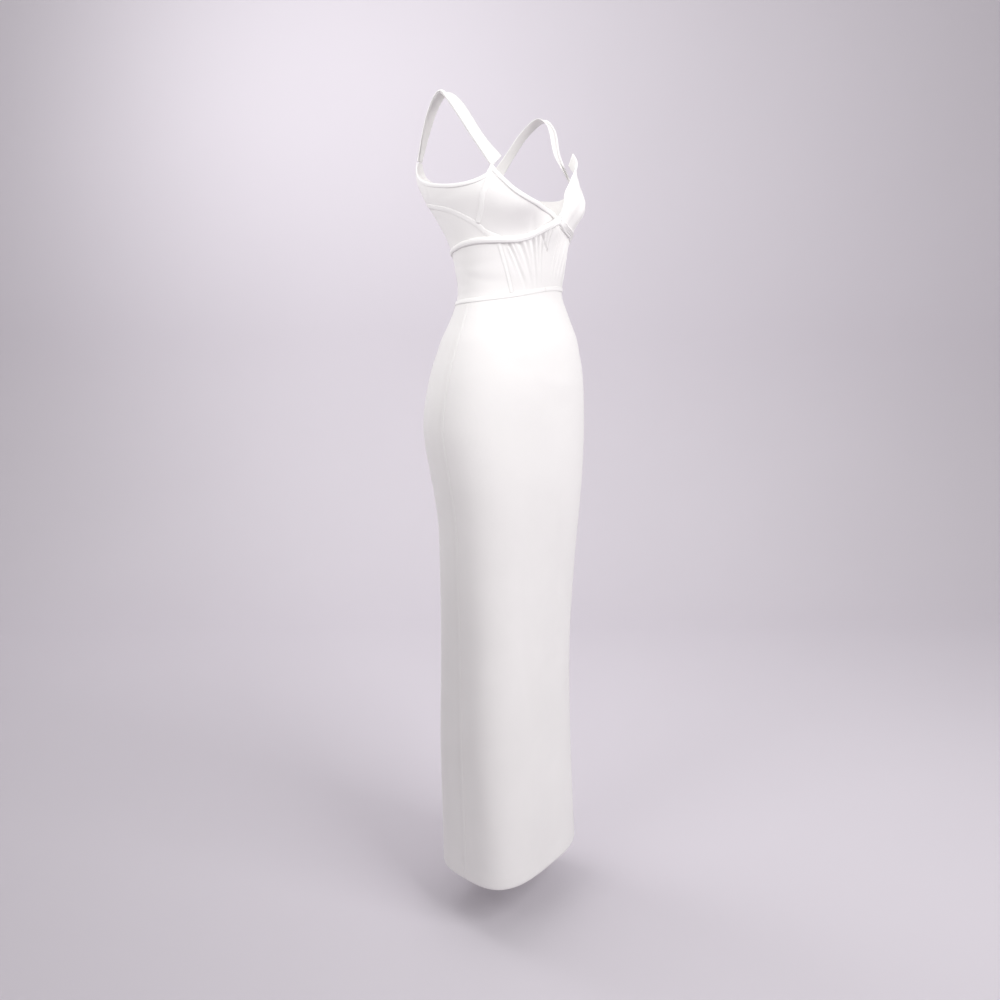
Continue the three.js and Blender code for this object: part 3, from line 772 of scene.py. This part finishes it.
def roll_width(line, side):
    """Thin at the back seam, full under the cup, and a little slimmer where it runs up to the strap."""

    def at(s):
        place = line(s)
        under = smooth(place[..., 0] * side, -BACK_SEAM, -60)
        upper = smooth(place[..., 1], -204, -180) * smooth(place[..., 0] * side, -8, 12)
        full = ROLL["thin"] + (ROLL["width"] - ROLL["thin"]) * under
        return full + (ROLL["slim"] - full) * upper

    return at


def roll_height(line, side):
    """The roll is about half as high as it is wide."""
    return lambda s: ROLL["height"] * roll_width(line, side)(s) / ROLL["width"]


def roll_creases(line, side):
    """The fold lines along a roll, deepest where it is pulled tight at the crossing."""

    def at(s, t):
        angle = line(s)[..., 0] * side
        pull = 0.2 + 0.8 * bell(angle + 14, 30)
        return -pull * (0.9 * bell(t - 0.36, 0.05) + 0.7 * bell(t - 0.66, 0.05))

    return at


over_line = route(UNDER_ROLL + LEFT_RIM)


def folded(s):
    place = over_line(s)
    return np.where(place[..., 0] > 0, smooth(place[..., 1], FOLD["from"], FOLD["to"]), 0)


def over_rise(s):
    return ROLL["lift"] * bell(over_line(s)[..., 0], ROLL["spread"]) + fallen(over_line(s))


def over_width(s):
    return roll_width(over_line, 1)(s) + FOLD["width"] * folded(s)


def over_form(s, t):
    """Towards the strap the roll opens to a thin flap, with a small round rim at its inner edge."""
    rim = 1.8 + 3.4 * bell(t - 0.9, 0.1)
    opened = rim - round_profile(t, ROLL["height"])
    return roll_creases(over_line, 1)(s, t) * (1 - folded(s)) + folded(s) * opened


roll_over = strip(
    "roll_over_knit", over_line, over_width, roll_height(over_line, 1), ROLL["base"], round_profile,
    over_rise, across=26, pitch=2.0, relief=over_form, tilt=lambda s: FLAP["tilt"] * folded(s),
)
wear(roll_over, folded_knit, ["roll_over"])
under_line = route(pulled(flipped(UNDER_ROLL, -1)) + flipped(RIGHT_RIM, -1))


def spread_foot(s):
    """The under roll lies flat and wide below the left cup, where it comes out of the crossing."""
    angle = under_line(s)[..., 0]
    return smooth(angle, 4, 18) * (1 - smooth(angle, 52, 90))


def foot_form(s, t):
    """Three fold lines run along the flat part, and two fine ones along the rest."""
    flat = spread_foot(s)
    folds = sum(bell(t - at, 0.045) for at in (0.26, 0.5, 0.74))
    lower = 1.6 * np.sqrt(np.clip(1 - (2 * t - 1) ** 2, 0, 1))
    return roll_creases(under_line, -1)(s, t) * (1 - flat) - flat * (lower + 2.5 * folds)


def under_width(s):
    return roll_width(under_line, -1)(s) * (1 + 0.35 * spread_foot(s))


roll_under = strip(
    "roll_under_knit", under_line, under_width, roll_height(under_line, -1), ROLL["base"], round_profile,
    across=30, pitch=2.0, relief=foot_form,
)
wear(roll_under, folded_knit, ["roll_under"])


# Bindings: the knit folded over the cut edge of each armhole and of the back neck, and sewn through once.
# They lie just outside the edge, as a soft round lip.
BINDING = {"width": 6, "height": 1.9, "base": 1.7}
for side, hand in HANDS:
    lips = {
        "armhole_binding": [
            (54.6, -126), (59, -137), (68, -147), (78, -151), (88, -149.5), (102, -142.5), (112, -128),
            (117, -104),
        ],
        "back_neck_binding": [(134, -103), (150, -120), (179.8, -130.5)],
    }
    for name, points in lips.items():
        line = route(flipped(points, side))
        lip = strip(
            f"{name}_{hand}_knit", line, BINDING["width"], BINDING["height"], BINDING["base"], round_profile
        )
        wear(lip, folded_knit, [f"{name}_{hand}"])


# Straps: a flat strap of doubled knit over each shoulder, from the top of the cup to the back.
# A rounded cord of folded knit runs along its outer edge and goes on into the neckline.
STRAP_ROWS = [
    ((118, -43, -75), (92, -51, -74)),
    ((140, -14, -21), (114, -18, -16)),
    ((140, 4, -5), (116, 5, -2)),
    ((131, 34, -25), (110, 36, -22)),
    ((120, 60, -62), (101, 66, -60)),
]
STRAP_FRONT = {"outer": (54, -123.5), "inner": (44, -104)}
STRAP_BACK = {"outer": (120.5, -99.3), "inner": (131, -97.3)}
STRAP = {"width": 24, "run": 300, "knit_width": 20, "stitches": 0.9}
CORD = {"width": 7, "height": 2.8, "base": 1.8, "overhang": 0.02, "knit_width": 9}


def space_curve(points):
    """A smooth curve through points in space, at an even share of the run for each stretch."""
    p = np.array(points, float)
    p = np.vstack([2 * p[0] - p[1], p, 2 * p[-1] - p[-2]])

    def at(s):
        u = np.clip(s, 0, 1) * (len(p) - 3)
        k = np.minimum(u.astype(int), len(p) - 4)
        u = (u - k)[..., None]
        a, b, c, d = (p[k + i] for i in range(4))
        ab, bc, cd = (np.linalg.norm(v, axis=-1, keepdims=True) ** 0.5 for v in (b - a, c - b, d - c))
        start = ((b - a) / ab - (c - a) / (ab + bc) + (c - b) / bc) * bc
        end = ((c - b) / bc - (d - b) / (bc + cd) + (d - c) / cd) * bc
        return (2 * b - 2 * c + start + end) * u**3 + (3 * c - 3 * b - 2 * start - end) * u**2 + start * u + b

    return at


for side, hand in HANDS:
    foot = lambda place: on_form(np.array(place, float) * (side, 1), 0.0)
    outer, inner = (np.array([row[k] for row in STRAP_ROWS]) * (side, 1, 1) for k in (0, 1))
    outer_edge = space_curve([foot(STRAP_FRONT["outer"]), *outer, foot(STRAP_BACK["outer"])])
    inner_edge = space_curve([foot(STRAP_FRONT["inner"]), *inner, foot(STRAP_BACK["inner"])])

    def on_strap(s, t, out):
        """A point of the strap from its outer edge, 0, to its inner edge, 1, moved out of the shoulder."""
        u = np.clip(s, 0.01, 0.99)
        ribbon = lambda a, b: outer_edge(a) * (1 - b[..., None]) + inner_edge(a) * b[..., None]
        along = ribbon(u + 0.01, t) - ribbon(u - 0.01, t)
        across = inner_edge(s) - outer_edge(s)
        return ribbon(s, t) - unit(np.cross(across, along)) * np.asarray(side * out)[..., None]

    run, share = np.linspace(0, 1, 110), np.linspace(0, 1, 13)
    s, t = np.meshgrid(run, share, indexing="ij")
    thickness = CLOTH * (0.55 + 0.45 * (1 - np.abs(2 * t - 1) ** 6))
    cloth_scale = (run * STRAP["run"], share * STRAP["knit_width"])
    strap = wall(f"strap_{hand}_knit", on_strap(s, t, thickness), on_strap(s, t, 0 * t), cloth_scale)
    wear(strap, double_knit, [f"strap_{hand}"])
    share = (1 - np.cos(np.pi * np.linspace(0, 1, 15))) / 2
    s, t = np.meshgrid(run, share, indexing="ij")
    strap_width = np.linalg.norm(inner_edge(s) - outer_edge(s), axis=-1)
    beside = t * CORD["width"] / strap_width - CORD["overhang"]
    cord_top = on_strap(s, beside, CORD["base"] + round_profile(t, CORD["height"]))
    cord_foot = on_strap(s, beside, CORD["base"] + 0 * t)
    cloth_scale = (run * STRAP["run"], share * CORD["knit_width"])
    cord = wall(f"strap_cord_{hand}_knit", cord_top, cord_foot, cloth_scale)
    wear(cord, folded_knit, [f"strap_cord_{hand}"])
    s = np.linspace(0.02, 0.98, 90)
    in_line = np.full_like(s, STRAP["stitches"])
    sew(f"strap_stitches_{hand}", [on_strap(s, in_line, np.full_like(s, CLOTH - 0.1))])


# Studio: a pale seamless sweep behind and under the gown, a large soft light from the front right of the
# view, a weaker one from the left, and the camera at the height and angle of a full-length picture.
FLOOR_Z = -1.43
CAMERA = {"distance": 1.5, "azimuth": -50.2, "pitch": 7.0, "height": -0.356}
CAMERA |= {"focal_px": 848, "axis_row": 420, "aside_px": 2}
FRAME_PX = 1000
SENSOR = 36.0


def backdrop_material():
    """Painted paper sweep: matt, an even cool grey."""
    made = bpy.data.materials.new("painted_paper_sweep")
    made.use_nodes = True
    tree = made.node_tree
    shader = tree.nodes["Principled BSDF"]
    place = add_node(tree, "ShaderNodeTexCoord").outputs["Object"]
    mottle = add_node(tree, "ShaderNodeTexNoise", {"Vector": place, "Scale": 1.2})
    blend = add_node(tree, "ShaderNodeMix", {"Factor": mottle.outputs["Fac"]}, data_type="RGBA")
    blend.inputs["A"].default_value, blend.inputs["B"].default_value = linear("#D6D1D8"), linear("#DAD5DC")
    tree.links.new(blend.outputs["Result"], shader.inputs["Base Color"])
    shader.inputs["Roughness"].default_value = 0.95
    shader.inputs["Specular IOR Level"].default_value = 0.1
    return made


azimuth, pitch = np.radians(CAMERA["azimuth"]), np.radians(CAMERA["pitch"])
towards = np.array([-np.sin(azimuth), np.cos(azimuth), 0])
rightwards = np.array([towards[1], -towards[0], 0])
looking = towards * np.cos(pitch) - np.array([0, 0, np.sin(pitch)])
upwards = np.cross(rightwards, looking)

sweep_back, sweep_bend, sweep_high, sweep_half = 2.4, 1.0, 4.0, 6.0
profile = [(-5.0, 0.0), (sweep_back - sweep_bend, 0.0)]
profile += [
    (sweep_back - sweep_bend + sweep_bend * np.sin(a), sweep_bend * (1 - np.cos(a)))
    for a in np.linspace(0, np.pi / 2, 24)
]
profile += [(sweep_back, sweep_high)]
vertices = [
    tuple(towards * along + rightwards * across + np.array([0, 0, FLOOR_Z + high]))
    for along, high in profile for across in (-sweep_half, sweep_half)
]
faces = [(2 * k, 2 * k + 1, 2 * k + 3, 2 * k + 2) for k in range(len(profile) - 1)]
sweep_mesh = bpy.data.meshes.new("studio_sweep")
sweep_mesh.from_pydata(vertices, [], faces)
sweep_mesh.shade_smooth()
sweep_mesh.materials.append(backdrop_material())
sweep = bpy.data.objects.new("studio_sweep", sweep_mesh)
bpy.context.collection.objects.link(sweep)


def soft_light(name, along, across, height, size, watts, aim, spread=180):
    """A square softbox, in metres from the gown's axis: along the view, to its right, and up."""
    data = bpy.data.lights.new(name, "AREA")
    data.shape, data.size = "SQUARE", size
    data.energy, data.spread = watts, np.radians(spread)
    lamp = bpy.data.objects.new(name, data)
    place = Vector(towards * along + rightwards * across + np.array([0, 0, height]))
    lamp.location = place
    lamp.rotation_euler = (Vector(aim) - place).to_track_quat("-Z", "Y").to_euler()
    bpy.context.collection.objects.link(lamp)


soft_light("key_softbox", -1.15, 1.35, 0.5, 1.2, 27, (0, 0, -0.35))
soft_light("fill_softbox", -0.95, -0.9, 0.22, 0.6, 2.5, (0, 0, -0.02), 100)
soft_light("sweep_softbox", 0.7, -1.0, 0.8, 1.6, 25, towards * 2.4 + rightwards * 0.4)
soft_light("top_softbox", 0.2, 0.2, 2.0, 2.6, 9, (0, 0, -0.6))
world = bpy.data.worlds.new("studio_air")
world.use_nodes = True
world.node_tree.nodes["Background"].inputs["Color"].default_value = linear("#F5F3F3")
world.node_tree.nodes["Background"].inputs["Strength"].default_value = 0.54
bpy.context.scene.world = world
bpy.context.scene.view_settings.view_transform = "Standard"

camera_data = bpy.data.cameras.new("catalogue_camera")
camera_data.sensor_width = SENSOR
camera_data.lens = SENSOR * CAMERA["focal_px"] / FRAME_PX
camera_data.shift_y = (CAMERA["axis_row"] - FRAME_PX / 2) / FRAME_PX
camera = bpy.data.objects.new("catalogue_camera", camera_data)
bpy.context.collection.objects.link(camera)
axis_offset = CAMERA["aside_px"] / CAMERA["focal_px"] * CAMERA["distance"]
at = -towards * CAMERA["distance"] + rightwards * axis_offset + np.array([0, 0, CAMERA["height"]])
turned = Matrix(np.stack([rightwards, upwards, -looking], -1).tolist()).to_4x4()
camera.matrix_world = Matrix.Translation(Vector(at)) @ turned
bpy.context.scene.camera = camera
